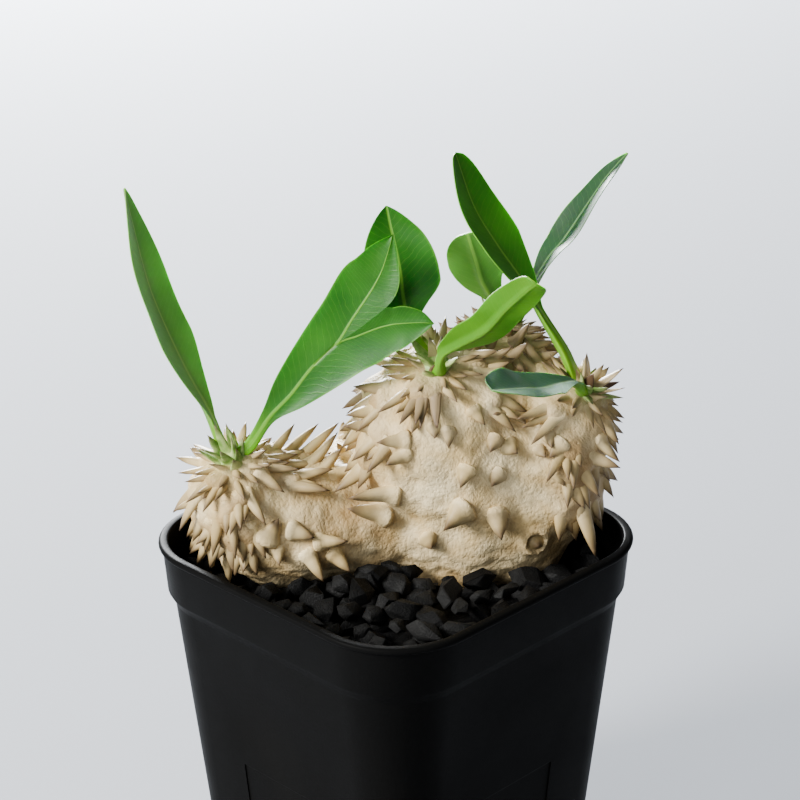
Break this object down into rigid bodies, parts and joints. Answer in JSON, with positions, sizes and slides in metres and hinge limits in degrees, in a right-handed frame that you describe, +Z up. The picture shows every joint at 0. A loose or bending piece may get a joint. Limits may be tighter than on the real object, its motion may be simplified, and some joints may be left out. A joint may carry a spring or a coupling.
{
  "type": "potted pachypodium",
  "caption": "Squat succulent with a swollen, spiny trunk and paddle-shaped leaves, standing in black gravel in a square plastic nursery pot.",
  "frame": {"origin": "middle of the underside of the pot's base", "axes": "+Z up; the pot's flat sides face +X, -X, +Y and -Y; the plant's large lobe leans towards the corner between +X and +Y and its small lobe towards the opposite corner"},
  "size_m": [0.0962, 0.1113, 0.1886],
  "materials": {
    "pot_plastic": "satin black",
    "gravel_stone": "rough black",
    "trunk_bark": "pale, silky, finely wrinkled bark",
    "crown_green": "soft green growth",
    "leaf_green": "smooth satin green"
  },
  "bodies": {
    "root": {"pot": "pot_plastic", "gravel": "gravel_stone", "caudex": "trunk_bark", "crown_left": "crown_green", "crown_middle": "crown_green", "crown_right": "crown_green", "crown_back": "crown_green", "leaf_left_tall": "leaf_green", "leaf_forked": "leaf_green", "leaf_broad": "leaf_green", "leaf_near": "leaf_green", "leaf_long": "leaf_green", "leaf_low": "leaf_green", "leaf_far": "leaf_green", "leaf_small_back": "leaf_green"}
  },
  "joints": []
}
